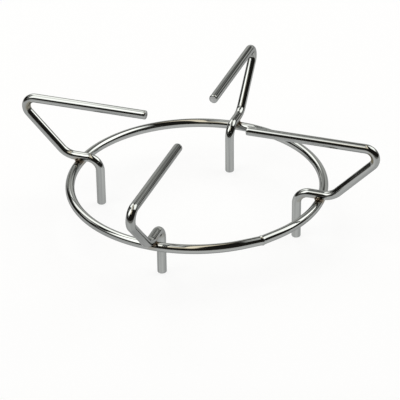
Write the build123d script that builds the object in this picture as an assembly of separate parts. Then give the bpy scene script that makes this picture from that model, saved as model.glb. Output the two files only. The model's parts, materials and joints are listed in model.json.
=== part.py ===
# Hob pan support: four bent wire arms welded on top of a wire ring.
# Lengths are in millimetres. +Z is up, the ring's axis is the Z axis, and the legs end at Z = 0.
# The four arms are alike and point along +X, +Y, -X and -Y.
import os
from math import atan, cos, degrees, tan

from build123d import *

# Wire
WIRE_DIAMETER = 5.0  # the ring and the arms are cut from the same wire
END_CHAMFER = 0.4  # takes the edge off each cut end

# Ring, measured along the middle of its wire
RING_DIAMETER = 139.0
RING_HEIGHT = 23.5  # above the leg ends
STRAIGHT_END = 9.5  # length at each end of the ring's wire that the rolls leave straight
SEAM_AZIMUTH = -42.0  # degrees from +X to the butt weld that closes the ring
SEAM_BEAD_HEIGHT = 0.25  # how far the butt weld swells beyond the wire
SEAM_BEAD_LENGTH = 4.4  # along the ring

# Arm, measured along the middle of its wire
LEG_INSET = 12.5  # from the ring in to the leg
FOOT_OUTSET = 7.0  # from the ring out to the corner where the crossing turns up
SLOPE_RUN = 30.5  # from that corner out to the corner of the top run
TIP_CIRCLE_DIAMETER = 57.0  # clear circle between the four tips
PAN_HEIGHT = 63.0  # from the leg ends to the top of the arms, where the pan stands
LEG_BEND_INSIDE = 4.5  # inside radius of each bend
FOOT_BEND_INSIDE = 8.5
TOP_BEND_INSIDE = 3.0

# Weld between arm and ring
WELD_SET_DOWN = 0.2  # how far the two wires are pressed into each other
WELD_DIAMETER = 4.2  # of the ball of melted metal, which shows in the corners between the wires

ARM_AZIMUTHS = {"arm_right": 0, "arm_back": 90, "arm_left": 180, "arm_front": 270}

wire_radius = WIRE_DIAMETER / 2
ring_radius = RING_DIAMETER / 2
crossing_height = RING_HEIGHT + WIRE_DIAMETER - WELD_SET_DOWN
contact_height = (RING_HEIGHT + crossing_height) / 2


def wire_along(path):
    """Solid round wire that follows a path."""
    start = Plane(origin=path @ 0, z_dir=path % 0)
    return sweep(start * Circle(wire_radius), path=path)


def seam_bead(end_angle):
    """Swelling of the butt weld, round the Y axis; its rims are buried in the two wire ends."""
    half_length = SEAM_BEAD_LENGTH / 2
    rim_radius = wire_radius - SEAM_BEAD_HEIGHT - half_length * tan(end_angle)
    crest = ThreePointArc(
        (rim_radius, -half_length),
        (wire_radius + SEAM_BEAD_HEIGHT, 0),
        (rim_radius, half_length),
    )
    sides = Polyline(crest @ 1, (0, half_length), (0, -half_length), crest @ 0)
    return revolve(make_face([crest, sides]), axis=Axis.Y)


def make_base_ring():
    """Rolled ring whose straight ends meet in a slight peak at the butt weld."""
    end_angle = atan(STRAIGHT_END / ring_radius)
    peak = ring_radius / cos(end_angle)
    arc = CenterArc((0, 0), ring_radius, degrees(end_angle), 180 - degrees(end_angle))
    past_seam = arc @ 0 - (STRAIGHT_END + wire_radius) * (arc % 0)
    half = wire_along(Wire([Line(past_seam, arc @ 0), arc]))
    half = split(half, bisect_by=Plane.XZ, keep=Keep.BOTTOM)
    ring = half + mirror(half, about=Plane.XZ) + Pos(peak, 0, 0) * seam_bead(end_angle)
    return Pos(0, 0, RING_HEIGHT) * Rot(0, 0, SEAM_AZIMUTH) * ring


def make_arm(ring):
    """Arm along +X: leg, crossing over the ring, slope outwards and top run back over the burner."""
    top_height = PAN_HEIGHT - wire_radius
    leg_reach = ring_radius - LEG_INSET
    foot_reach = ring_radius + FOOT_OUTSET
    corners = [
        (leg_reach, 0, 0),
        (leg_reach, 0, crossing_height),
        (foot_reach, 0, crossing_height),
        (foot_reach + SLOPE_RUN, 0, top_height),
        (TIP_CIRCLE_DIAMETER / 2, 0, top_height),
    ]
    bends = [inside + wire_radius for inside in (LEG_BEND_INSIDE, FOOT_BEND_INSIDE, TOP_BEND_INSIDE)]
    wire = wire_along(FilletPolyline(*corners, radius=bends))
    cut_ends = wire.faces().filter_by(GeomType.PLANE)
    wire = chamfer(cut_ends.edges(), END_CHAMFER)
    weld = Pos(ring_radius, 0, contact_height) * Sphere(WELD_DIAMETER / 2)
    return wire + weld - ring


base_ring = make_base_ring()
arm = make_arm(base_ring)
nodes = {"base_ring": base_ring}
for name, azimuth in ARM_AZIMUTHS.items():
    nodes[name] = Rot(0, 0, azimuth) * arm

os.makedirs("parts", exist_ok=True)
for name, node in nodes.items():
    export_step(node, f"parts/{name}.step")
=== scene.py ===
import json
from collections import namedtuple
from math import atan, ceil, cos, exp, pi, radians, sin, tan

import bmesh
import bpy
from mathutils import Matrix, Quaternion, Vector, noise


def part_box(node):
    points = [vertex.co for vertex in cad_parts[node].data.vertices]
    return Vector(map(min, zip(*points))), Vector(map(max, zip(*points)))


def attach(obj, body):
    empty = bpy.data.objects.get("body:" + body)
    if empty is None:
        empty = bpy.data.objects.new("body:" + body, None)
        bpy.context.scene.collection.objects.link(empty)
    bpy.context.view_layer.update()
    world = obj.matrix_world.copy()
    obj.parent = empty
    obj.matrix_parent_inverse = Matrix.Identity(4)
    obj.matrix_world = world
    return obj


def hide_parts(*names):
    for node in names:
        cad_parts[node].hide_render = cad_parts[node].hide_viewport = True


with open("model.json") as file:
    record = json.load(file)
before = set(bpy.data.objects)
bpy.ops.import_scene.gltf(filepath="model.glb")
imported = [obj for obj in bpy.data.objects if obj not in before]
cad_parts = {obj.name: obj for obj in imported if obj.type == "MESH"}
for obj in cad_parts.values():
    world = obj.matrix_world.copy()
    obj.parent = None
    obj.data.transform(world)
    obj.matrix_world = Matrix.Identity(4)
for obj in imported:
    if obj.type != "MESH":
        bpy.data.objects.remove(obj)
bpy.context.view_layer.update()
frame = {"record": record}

MM = 0.001
Y_AXIS, Z_AXIS = Vector((0, 1, 0)), Vector((0, 0, 1))

# Sizes that the frame gives
mounts = {mount["name"]: mount for mount in frame["record"]["mounts"]}
leg_pattern = mounts["legs"]["dims"]
wire_radius = leg_pattern["stud_r_mm"] * MM
leg_reach = leg_pattern["pcd_mm"] / 2 * MM
top_height = mounts["pan_rest"]["pos_m"][2] - wire_radius
tip_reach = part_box("arm_right")[0].x
ring_low, ring_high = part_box("base_ring")
ring_radius = (ring_high.y - ring_low.y) / 2 - wire_radius
ring_height = (ring_high.z + ring_low.z) / 2

# Arm, along the middle of its wire
ARM_AZIMUTHS = {"arm_right": 0, "arm_back": 90, "arm_left": 180, "arm_front": 270}  # degrees from +X
FOOT_OUTSET = 7.0 * MM  # from the ring out to the corner where the crossing turns up
SLOPE_RUN = 30.5 * MM  # from that corner out to the corner of the top run
LEG_BEND, FOOT_BEND, TOP_BEND = 7.0 * MM, 11.0 * MM, 5.5 * MM  # radii
FLATTENING = 0.09  # share that a bend takes off the wire, when as tight as the wire's own radius
FLATTENING_RAMP = 0.25  # share of a bend over which it sets in

# Cut ends of an arm
END_ROUND = 0.7 * MM  # radius of the edge
END_CROWN = 0.12 * MM  # how far the middle of the face stands out from its rim
FACE_RINGS = (0.9, 0.6, 0.25)  # rings of points on the face, as shares of its radius

# Ring
SEAM_AZIMUTH = radians(-42.0)
STRAIGHT_END = 9.5 * MM  # length at each end of the ring's wire that the rolls leave straight
BEAD_HEIGHT = 0.15 * MM  # how far the butt weld swells beyond the wire
BEAD_LENGTH = 2.6 * MM
RIDGE_HEIGHT = 0.10 * MM  # of the sharp line in the middle of the butt weld
RIDGE_WIDTH = 0.2 * MM
RIDGE_MEAN, RIDGE_SWING = 0.7, 0.6  # shares of its height: the middle, and what noise adds or takes
RIDGE_LUMPS = 2.0  # how finely it varies round the wire

# Weld between arm and ring
SET_DOWN = 0.2 * MM  # how far the two wires are pressed into each other
WELD_RADIUS = 2.5 * MM  # of the metal squeezed out round the contact
WELD_HALF_THICKNESS = 1.5 * MM
LUMP_SIZE = 1.8 * MM
LUMP_HEIGHT = 0.45 * MM
TINT_REACH = 3.2 * MM  # distance from a weld at which its tint has faded to about a third

# Fineness of the meshes
AROUND = 96  # points round the wire
STEP = 1.0 * MM  # between sections of a straight run
SEAM_STEP = 0.06 * MM  # between sections of the ring at its butt weld
ARC_STEP = radians(3.0)  # between sections of a bend
CAP_STEPS = 5  # across the rounded edge of a cut end
WELD_SUBDIVISIONS = 5

# Chrome: colours
PLATE_AND_PAINTED_REFLECTION_DARK, PLATE_AND_PAINTED_REFLECTION_LIGHT = (0.30, 0.31, 0.305, 1), (0.395, 0.405, 0.395, 1)  # streaks along the wire, partly the plate's own tone and partly painted reflections of floor shadows and nearby parts
BEND_INSIDE_BROWN = (0.135, 0.113, 0.061, 1)  # darker, browner colour inside the top bends
CUT_METAL = (0.40, 0.40, 0.40, 1)
STRAW = (0.29, 0.255, 0.20, 1)  # tint round a weld
CRUST_DARK, CRUST_LIGHT = (0.075, 0.055, 0.04, 1), (0.27, 0.22, 0.17, 1)  # crust on a weld
EDGE_TINT = (0.55, 0.55, 0.55, 1)  # chromium reflects less at grazing angles than an ideal metal

# Chrome: noises, by features a millimetre along the wire and across it
Noise = namedtuple("Noise", "along across detail")
CLOUDS = Noise(0.25, 0.25, detail=3.0)
# streaks along the wire: the plate's own tone, and painted reflections of floor shadows and nearby parts
STREAKS_AND_PAINTED_REFLECTIONS = Noise(0.02, 0.7, detail=1.0)
DIE_LINES = Noise(0.05, 4.0, detail=2.0)
SPECKS = Noise(2.5, 2.5, detail=4.0)
NOISE_RANGE = (0.3, 0.7)  # where most values of a noise lie

# Chrome: where the plate changes
BEND_INSIDE_SHARE = {"arm_right": 0.85, "arm_back": 0.1, "arm_left": 0.65, "arm_front": 0.65}  # share of the darker brown inside the top bend, for each arm
BEND_INSIDE_WIDTH = 0.4  # share of the wire's radius over which it sets in
BEND_INSIDE_POWER = 4  # the higher, the less of it in the bends that are wider than the top one
CUT_SHARE = 0.6  # share of bare metal in the colour of the cut ends
STRAW_RANGE = (0.05, 0.6)  # share of weld tint over which the straw colour sets in
BURNT_RANGE = (0.4, 0.9)  # share of weld tint over which the crust sets in
SPECK_RANGE = (0.4, 0.65)  # values of the specks over which the crust goes from dark to light
PATCH_RANGE = (0.1, 0.6)  # values of the clouds over which the crust thickens
PATCH_LEAST = 0.7  # share of crust where it is thinnest

# Chrome: gloss and relief
POLISHED, HAZY = 0.03, 0.08  # roughness
CUT_ROUGHNESS, BURNT_ROUGHNESS = 0.15, 0.15  # added to it
SPECK_HEIGHT = 2.0  # of the crust's specks, in heights of the die lines
RELIEF_HEIGHT = 0.01 * MM
RELIEF_STRENGTH = 0.2

# Camera, by direction in degrees and distance from the middle of the ring
CAMERA_AZIMUTH = 19.51  # from -Y
CAMERA_ELEVATION = 29.84
CAMERA_ROLL = -0.70
CAMERA_DISTANCE = 1.0576
CAMERA_LENS = 173.6  # millimetres, on the default sensor of 36 millimetres
AIM_RIGHT = 1.60 * MM  # from the middle of the ring to the point in the middle of the picture
AIM_DOWN = 11.20 * MM

# Floor: a painted pool of light, a rectangle with round corners, whose painted falloff turns it grey
FLOOR_SIZE = 6.0
LIGHT_POOL_BACK = 0.25  # from the object back to the middle of the patch
LIGHT_POOL_WIDTH, LIGHT_POOL_DEPTH = 0.70, 0.80  # where the painted light starts to fade
LIGHT_POOL_FADE = 1.4  # size at which it has faded to grey, beside the size where it starts
CORNER_POWER = 4.0  # of the patch's outline: 2 is an ellipse, and more is squarer
FLOOR_LIFT = 0.86  # share of plain white in what the camera and the metal see of the patch
# paper colour inside the pool, and a painted falloff of light to grey farther out
PAPER_IN_LIGHT_POOL, PAPER_PAINTED_FALLOFF = (0.85, 0.85, 0.85, 1), (0.3, 0.3, 0.3, 1)

# Soft boxes: azimuth 0 points towards the camera and grows to the camera's right, in degrees
STUDIO_RADIUS = 2.2  # from the object to the boxes
ROOM_COLOR = (0.025, 0.023, 0.02, 1)
WARM_WHITE, CREAM = (1.0, 1.0, 0.96), (1.0, 0.89, 0.70)
BOX_FADE = 0.35  # share of a box's half width and half height over which its light fades at the edges
SoftBox = namedtuple("SoftBox", "name azimuth elevation width height level color", defaults=(WARM_WHITE,))
SOFT_BOXES = [
    SoftBox("box_right", 111, 50, 2.05, 1.9, level=2.9),
    SoftBox("box_right_low", 114, 26, 1.15, 1.6, level=0.55),
    SoftBox("box_right_back", 150, 42, 1.1, 1.0, level=0.5),
    SoftBox("box_left", -66.5, 48, 1.5, 1.9, level=3.1),
    SoftBox("box_left_low", -72, 22, 1.8, 0.8, level=0.35),
    SoftBox("box_left_back", -112, 33, 0.7, 0.7, level=0.9),
    SoftBox("box_back", -151.5, 46, 1.5, 1.5, level=2.7),
    SoftBox("box_back_low", 180, 33, 0.75, 0.45, level=0.6),
    SoftBox("box_back_top", -133, 64, 0.75, 0.6, level=1.9),
    SoftBox("box_top", -86, 75, 1.1, 0.9, level=1.5),
    SoftBox("box_front", -20, 57, 1.0, 1.1, level=1.25, color=CREAM),
    SoftBox("strip_top", 172, 89, 0.35, 3.0, level=2.0, color=CREAM),
    SoftBox("backdrop", 172, 7, 4.4, 2.0, level=1.0),
]

crossing_height = ring_height + 2 * wire_radius - SET_DOWN
contact_height = (ring_height + crossing_height) / 2

Station = namedtuple("Station", "place tangent inward flattening")  # a point on the middle line of a wire
Section = namedtuple("Section", "middle radius cut station")  # a circle of points; cut is 1 on a cut face


# Small tools

def smooth(share):
    """Smooth step from 0 to 1."""
    return sin(pi / 2 * min(1.0, max(0.0, share))) ** 2


def turned(azimuth):
    """Rotation about the Z axis, from degrees."""
    return Matrix.Rotation(radians(azimuth), 3, "Z")


def weld_point(azimuth):
    """The point where an arm touches the ring."""
    return turned(azimuth) @ Vector((ring_radius, 0, contact_height))


def tint_at(point):
    """Share of weld tint at a point, from 0 to 1."""
    distance = min((point - weld_point(azimuth)).length for azimuth in ARM_AZIMUTHS.values())
    return exp(-((distance / TINT_REACH) ** 2))


def new_object(name, data):
    """Object in the scene, for a mesh or a camera."""
    thing = bpy.data.objects.new(name, data)
    bpy.context.scene.collection.objects.link(thing)
    return thing


def make_piece(name, vertices, faces, material, node=None, **attributes):
    """Smooth mesh object on the object's one body; each attribute holds one number or vector a vertex."""
    mesh = bpy.data.meshes.new(name)
    mesh.from_pydata(vertices, [], faces)
    mesh.shade_smooth()
    for key, values in attributes.items():
        if isinstance(values[0], Vector):
            layer = mesh.attributes.new(key, "FLOAT_VECTOR", "POINT")
            layer.data.foreach_set("vector", [number for value in values for number in value])
        else:
            layer = mesh.attributes.new(key, "FLOAT", "POINT")
            layer.data.foreach_set("value", values)
    mesh.materials.append(material)
    piece = new_object(name, mesh)
    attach(piece, "root")
    if node:
        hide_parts(node)


def band_faces(count, closed):
    """Quads between neighbouring sections of a tube; a closed tube's last section meets its first."""
    faces = []
    for section in range(count if closed else count - 1):
        here = section * AROUND
        there = (section + 1) % count * AROUND
        for step in range(AROUND):
            after = (step + 1) % AROUND
            faces.append((here + step, here + after, there + after, there + step))
    return faces


# Wires

def straight_run(start, end):
    """Stations from start up to, but without, end."""
    steps = ceil((end - start).length / STEP)
    tangent = (end - start).normalized()
    return [Station(start.lerp(end, step / steps), tangent, Vector(), 0.0) for step in range(steps)]


def bend(start, tangent, inward, radius, turn):
    """Stations of an arc that leaves start along tangent and curves inward, where the wire is flatter."""
    steps = ceil(turn / ARC_STEP)
    centre = start + inward * radius
    stations = []
    for step in range(steps):
        angle = turn * step / steps
        towards = inward * cos(angle) - tangent * sin(angle)
        to_end = min(step, steps - step) / steps
        flattening = FLATTENING * wire_radius / radius * smooth(to_end / FLATTENING_RAMP)
        heading = tangent * cos(angle) + inward * sin(angle)
        stations.append(Station(centre - towards * radius, heading, towards, flattening))
    return stations


def rounded_path(corners, radii):
    """Stations along straight runs joined by tangent arcs."""
    stations = []
    start = corners[0]
    for corner, after, radius in zip(corners[1:], corners[2:], radii):
        incoming = (corner - start).normalized()
        outgoing = (after - corner).normalized()
        turn = incoming.angle(outgoing)
        setback = radius * tan(turn / 2)
        run_end = corner - incoming * setback
        inward = (outgoing - incoming * incoming.dot(outgoing)).normalized()
        stations += straight_run(start, run_end)
        stations += bend(run_end, incoming, inward, radius, turn)
        start = corner + outgoing * setback
    stations += straight_run(start, corners[-1])
    stations.append(Station(corners[-1], outgoing, Vector(), 0.0))
    return stations


def cut_end(station, outward):
    """Sections of a cut end, from the wire outwards: a rounded edge, then a slightly crowned face."""
    sections = []
    for step in range(1, CAP_STEPS + 1):
        angle = step / CAP_STEPS * pi / 2
        advance = END_ROUND * sin(angle)
        radius = wire_radius - END_ROUND * (1 - cos(angle))
        sections.append(Section(station.place + outward * advance, radius, 0.0, station))
    for share in FACE_RINGS:
        advance = END_ROUND + END_CROWN * (1 - share ** 2)
        radius = (wire_radius - END_ROUND) * share
        sections.append(Section(station.place + outward * advance, radius, 1.0, station))
    return sections


def make_arm(name, azimuth, material):
    """One bent wire: leg, crossing over the ring, slope outwards and top run back over the burner."""
    end_length = END_ROUND + END_CROWN
    foot_reach = ring_radius + FOOT_OUTSET
    corners = [
        Vector((leg_reach, 0, end_length)),
        Vector((leg_reach, 0, crossing_height)),
        Vector((foot_reach, 0, crossing_height)),
        Vector((foot_reach + SLOPE_RUN, 0, top_height)),
        Vector((tip_reach + end_length, 0, top_height)),
    ]
    path = rounded_path(corners, (LEG_BEND, FOOT_BEND, TOP_BEND))
    leg, tip = path[0], path[-1]
    sections = cut_end(leg, -leg.tangent)[::-1]
    sections += [Section(station.place, wire_radius, 0.0, station) for station in path]
    sections += cut_end(tip, tip.tangent)

    vertices, grain, bend_inside, cut = [], [], [], []
    along = 0.0
    last = sections[0].middle
    for section in sections:
        station = section.station
        along += (section.middle - last).length
        last = section.middle
        normal = Y_AXIS.cross(station.tangent)
        tightness = station.flattening / FLATTENING * TOP_BEND / wire_radius
        for step in range(AROUND):
            angle = 2 * pi * step / AROUND
            high = normal * cos(angle) * (1 - station.flattening)
            wide = Y_AXIS * sin(angle) * (1 + station.flattening / 2)
            vertices.append(section.middle + (high + wide) * section.radius)
            grain.append(Vector((along, cos(angle) * section.radius, sin(angle) * section.radius)) / MM)
            # share of the darker brown colour inside the bend, most in the tight top bend
            inside = smooth(high.dot(station.inward) / BEND_INSIDE_WIDTH)
            bend_inside.append(inside * tightness ** BEND_INSIDE_POWER * BEND_INSIDE_SHARE[name])
            cut.append(section.cut)
    faces = band_faces(len(sections), closed=False)
    faces.append(tuple(reversed(range(AROUND))))  # middle of the leg's end
    faces.append(tuple(range(len(vertices) - AROUND, len(vertices))))  # middle of the tip
    vertices = [turned(azimuth) @ vertex for vertex in vertices]
    tint = [tint_at(vertex) for vertex in vertices]
    layers = {"grain": grain, "bend_inside": bend_inside, "cut": cut, "weld_tint": tint}
    make_piece(name + "_wire", vertices, faces, material, name, **layers)


def ring_turns():
    """Angles of the ring's sections, once round from the butt weld, and closer together beside it."""
    fine_count = ceil(BEAD_LENGTH / SEAM_STEP)
    fine_step = SEAM_STEP / ring_radius
    near = [step * fine_step for step in range(fine_count)]
    start = fine_count * fine_step
    length = 2 * (pi - start)
    count = ceil(length * ring_radius / STEP)
    far = [start + length * step / count for step in range(count + 1)]
    return near + far + [2 * pi - turn for turn in reversed(near[1:])]


def seam_swell(distance, angle):
    """How far the butt weld stands out: a low swelling with a sharp, uneven line in the middle."""
    round_wire = Vector((cos(angle), sin(angle), 0))
    ridge = RIDGE_HEIGHT * (RIDGE_MEAN + RIDGE_SWING * noise.noise(round_wire * RIDGE_LUMPS))
    swell = ridge * exp(-((distance / RIDGE_WIDTH) ** 2))
    if distance < BEAD_LENGTH / 2:
        swell += BEAD_HEIGHT * cos(pi * distance / BEAD_LENGTH) ** 2
    return swell


def make_ring(material):
    """Rolled wire whose straight ends meet in a slight peak at the butt weld."""
    end_angle = atan(STRAIGHT_END / ring_radius)
    turns = ring_turns()
    vertices, grain = [], []
    for turn in reversed(turns):  # clockwise, so that the faces look outwards
        to_seam = min(turn, 2 * pi - turn)
        skew = max(0.0, end_angle - to_seam)  # past the start of a straight end
        distance = to_seam * ring_radius
        outward = Vector((cos(turn + SEAM_AZIMUTH), sin(turn + SEAM_AZIMUTH), 0))
        for step in range(AROUND):
            angle = 2 * pi * step / AROUND
            radius = wire_radius + seam_swell(distance, angle)
            across = (ring_radius + cos(angle) * radius) / cos(skew)
            vertices.append(outward * across + Z_AXIS * (ring_height + sin(angle) * radius))
            grain.append(Vector((turn * ring_radius, cos(angle) * radius, sin(angle) * radius)) / MM)
    faces = band_faces(len(turns), closed=True)
    tint = [tint_at(vertex) for vertex in vertices]
    make_piece("base_ring_wire", vertices, faces, material, "base_ring", grain=grain, weld_tint=tint)


def make_weld(name, azimuth, material):
    """Lumpy pad of melted metal that fills the saddle between an arm and the ring."""
    ball = bmesh.new()
    bmesh.ops.create_icosphere(ball, subdivisions=WELD_SUBDIVISIONS, radius=1.0)
    vertices = []
    for vertex in ball.verts:
        lump = noise.noise(vertex.co * WELD_RADIUS / LUMP_SIZE + Vector((azimuth, 0, 0)))
        pad = vertex.co * (WELD_RADIUS + lump * LUMP_HEIGHT)
        saddle = (pad.y ** 2 - pad.x ** 2) / (4 * wire_radius)  # midway between the two wires
        pad.z = pad.z * WELD_HALF_THICKNESS / WELD_RADIUS + saddle
        vertices.append(weld_point(azimuth) + turned(azimuth) @ pad)
    faces = [tuple(vertex.index for vertex in face.verts) for face in ball.faces]
    ball.free()
    grain = [vertex / MM for vertex in vertices]
    make_piece(name, vertices, faces, material, grain=grain, weld_tint=[1.0] * len(vertices))


# Materials

class Graph:
    """Short way to add nodes to a material or world and to link them."""

    def __init__(self, owner):
        owner.use_nodes = True
        self.tree = owner.node_tree
        self.tree.nodes.clear()

    def add(self, kind, inputs=None, **settings):
        """New node; an input is given by its name or number, as a value or as the output that feeds it."""
        node = self.tree.nodes.new("ShaderNode" + kind)
        for key, value in settings.items():
            setattr(node, key, value)
        for key, value in (inputs or {}).items():
            if isinstance(value, bpy.types.NodeSocket):
                self.tree.links.new(value, node.inputs[key])
            else:
                node.inputs[key].default_value = value
        return node

    def mix(self, share, first, second):
        """Colour between two colours, by the sockets that the Mix node has for colours."""
        return self.add("Mix", {0: share, 6: first, 7: second}, data_type="RGBA").outputs[2]

    def math(self, operation, first, second=0.0):
        """Result of a sum, product or the like."""
        return self.add("Math", {0: first, 1: second}, operation=operation).outputs[0]

    def ramp(self, value, start, end, first=0.0, second=1.0):
        """Smooth step from first to second while value goes from start to end."""
        inputs = {"Value": value, "From Min": start, "From Max": end, "To Min": first, "To Max": second}
        return self.add("MapRange", inputs, interpolation_type="SMOOTHSTEP").outputs["Result"]

    def noise(self, place, pattern):
        """Noise over a place in millimetres along the wire and across it."""
        stretch = (pattern.along, pattern.across, pattern.across)
        mapped = self.add("Mapping", {"Vector": place, "Scale": stretch}).outputs["Vector"]
        inputs = {"Vector": mapped, "Scale": 1.0, "Detail": pattern.detail}
        return self.add("TexNoise", inputs).outputs["Fac"]


def new_material(name):
    """Material, and the graph of its nodes."""
    material = bpy.data.materials.new(name)
    return material, Graph(material)


def chrome_material():
    """Bright chrome on drawn wire: faint streaks along it, partly the plate's own tone and partly painted
    reflections of floor shadows, darker brown inside the top bends, straw tint and crust at the welds, and
    duller metal on the cut ends."""
    material, graph = new_material("chromed_wire_finish")
    grain = graph.add("Attribute", attribute_name="grain").outputs["Vector"]
    tint = graph.add("Attribute", attribute_name="weld_tint").outputs["Fac"]
    bend_inside = graph.add("Attribute", attribute_name="bend_inside").outputs["Fac"]
    cut = graph.add("Attribute", attribute_name="cut").outputs["Fac"]

    clouds = graph.noise(grain, CLOUDS)
    streaks_and_reflections = graph.noise(grain, STREAKS_AND_PAINTED_REFLECTIONS)
    die_lines = graph.noise(grain, DIE_LINES)
    specks = graph.noise(grain, SPECKS)

    # painted reflections: streaks in the plate that also stand in for floor shadows and nearby parts seen
    # in the metal
    plate = graph.mix(graph.ramp(streaks_and_reflections, *NOISE_RANGE), PLATE_AND_PAINTED_REFLECTION_DARK, PLATE_AND_PAINTED_REFLECTION_LIGHT)
    # darker, browner colour inside the top bends
    plate = graph.mix(bend_inside, plate, BEND_INSIDE_BROWN)
    plate = graph.mix(graph.math("MULTIPLY", cut, CUT_SHARE), plate, CUT_METAL)
    plate = graph.mix(graph.ramp(tint, *STRAW_RANGE), plate, STRAW)
    crust = graph.mix(graph.ramp(specks, *SPECK_RANGE), CRUST_DARK, CRUST_LIGHT)
    patches = graph.ramp(clouds, *PATCH_RANGE, PATCH_LEAST, 1.0)
    burnt = graph.math("MULTIPLY", graph.ramp(tint, *BURNT_RANGE), patches)
    plate = graph.mix(burnt, plate, crust)

    haze = graph.ramp(clouds, *NOISE_RANGE, POLISHED, HAZY)
    burnt_dull = graph.math("MULTIPLY", burnt, BURNT_ROUGHNESS)
    cut_dull = graph.math("MULTIPLY", cut, CUT_ROUGHNESS)
    rough = graph.math("ADD", haze, graph.math("ADD", burnt_dull, cut_dull))
    crust_height = graph.math("MULTIPLY", graph.math("MULTIPLY", specks, burnt), SPECK_HEIGHT)
    height = graph.math("ADD", die_lines, crust_height)
    bump = {"Strength": RELIEF_STRENGTH, "Distance": RELIEF_HEIGHT, "Height": height}
    relief = graph.add("Bump", bump).outputs["Normal"]
    shader = graph.add(
        "BsdfPrincipled",
        {
            "Base Color": plate,
            "Metallic": 1.0,
            "Roughness": rough,
            "Specular Tint": EDGE_TINT,
            "Normal": relief,
        },
    )
    graph.add("OutputMaterial", {"Surface": shader.outputs[0]})
    return material


def floor_material():
    """White paper with a painted pool of light, whose painted falloff turns it grey away from the object;
    what the camera and the metal see of it is lifted towards white, and its shadow stays."""
    material, graph = new_material("floor_painted_light_pool")
    path = graph.add("LightPath").outputs
    seen = graph.math("MAXIMUM", path["Is Camera Ray"], path["Is Glossy Ray"])
    seen = graph.math("MAXIMUM", seen, path["Is Transmission Ray"])
    place = graph.add("TexCoord").outputs["Object"]
    light_pool = {"Location": (0, LIGHT_POOL_BACK, 0), "Scale": (LIGHT_POOL_WIDTH / 2, LIGHT_POOL_DEPTH / 2, 1)}
    place = graph.add("Mapping", {"Vector": place, **light_pool}, vector_type="TEXTURE").outputs["Vector"]
    sides = graph.add("SeparateXYZ", {0: place}).outputs[:2]
    powers = [graph.math("POWER", graph.math("ABSOLUTE", side), CORNER_POWER) for side in sides]
    distance = graph.math("POWER", graph.math("ADD", *powers), 1 / CORNER_POWER)
    # painted falloff of light: away from the pool the paper and its lift fade to grey
    far = graph.ramp(distance, 1.0, LIGHT_POOL_FADE)
    paper = graph.add("BsdfDiffuse", {"Color": graph.mix(far, PAPER_IN_LIGHT_POOL, PAPER_PAINTED_FALLOFF)})
    white = graph.add("Emission", {"Color": (1, 1, 1, 1), "Strength": 1.0})
    near = graph.math("SUBTRACT", 1.0, far)
    lift = graph.math("MULTIPLY", graph.math("MULTIPLY", seen, near), FLOOR_LIFT)
    shader = graph.add("MixShader", {0: lift, 1: paper.outputs[0], 2: white.outputs[0]})
    graph.add("OutputMaterial", {"Surface": shader.outputs[0]})
    return material


def glow_material(box):
    """Front of a soft box: even light that fades at the edges and adds to the boxes behind it."""
    material, graph = new_material(box.name)
    place = graph.add("TexCoord").outputs["UV"]
    axes = graph.add("SeparateXYZ", {0: place}).outputs
    light = box.level
    for axis in axes[:2]:
        off_middle = graph.math("ABSOLUTE", graph.math("SUBTRACT", axis, 0.5))
        edge = graph.ramp(off_middle, 0.5 - BOX_FADE / 2, 0.5, 1.0, 0.0)
        light = graph.math("MULTIPLY", edge, light)
    glow = graph.add("Emission", {"Color": (*box.color, 1), "Strength": light})
    clear = graph.add("BsdfTransparent")
    shader = graph.add("AddShader", {0: glow.outputs[0], 1: clear.outputs[0]})
    graph.add("OutputMaterial", {"Surface": shader.outputs[0]})
    return material


# Studio

def direction(azimuth, elevation):
    """Unit vector from degrees, with azimuth 0 towards the camera."""
    turn = radians(azimuth + CAMERA_AZIMUTH)
    rise = radians(elevation)
    return Vector((sin(turn) * cos(rise), -cos(turn) * cos(rise), sin(rise)))


def make_card(name, width, height, material):
    """Flat stage card in its own X-Y plane."""
    mesh = bpy.data.meshes.new(name)
    places = [(0, 0), (1, 0), (1, 1), (0, 1)]
    corners = [((across - 0.5) * width, (up - 0.5) * height, 0) for across, up in places]
    mesh.from_pydata(corners, [], [(0, 1, 2, 3)])
    layer = mesh.uv_layers.new(name="UVMap")
    for loop, place in enumerate(places):
        layer.data[loop].uv = place
    mesh.materials.append(material)
    card = new_object(name, mesh)
    return card


def make_studio():
    """Floor, soft boxes that face the object, and a dark room round them."""
    floor = make_card("floor", FLOOR_SIZE, FLOOR_SIZE, floor_material())
    floor.rotation_euler.z = radians(CAMERA_AZIMUTH)
    for box in SOFT_BOXES:
        card = make_card(box.name, box.width, box.height, glow_material(box))
        towards = direction(box.azimuth, box.elevation)
        card.location = towards * STUDIO_RADIUS
        card.rotation_mode = "QUATERNION"
        card.rotation_quaternion = (-towards).to_track_quat("Z", "Y")

    world = bpy.data.worlds.new("dark_room")
    graph = Graph(world)
    room = graph.add("Background", {"Color": ROOM_COLOR, "Strength": 1.0})
    graph.add("OutputWorld", {"Surface": room.outputs[0]})
    bpy.context.scene.world = world


def make_camera():
    """Camera at the photograph's viewing angle, with the object in the same place in the picture."""
    data = bpy.data.cameras.new("camera")
    data.lens = CAMERA_LENS
    camera = new_object("camera", data)
    middle = Vector((0, 0, ring_height))
    camera.location = middle + direction(0, CAMERA_ELEVATION) * CAMERA_DISTANCE
    aim = middle + direction(90, 0) * AIM_RIGHT - Z_AXIS * AIM_DOWN
    level_view = (aim - camera.location).to_track_quat("-Z", "Y")
    camera.rotation_mode = "QUATERNION"
    camera.rotation_quaternion = level_view @ Quaternion(Z_AXIS, radians(CAMERA_ROLL))
    bpy.context.scene.camera = camera


chrome = chrome_material()
make_ring(chrome)
for arm_name, arm_azimuth in ARM_AZIMUTHS.items():
    make_arm(arm_name, arm_azimuth, chrome)
    make_weld(arm_name.replace("arm", "weld"), arm_azimuth, chrome)
make_studio()
make_camera()
bpy.context.scene.view_settings.view_transform = "Standard"
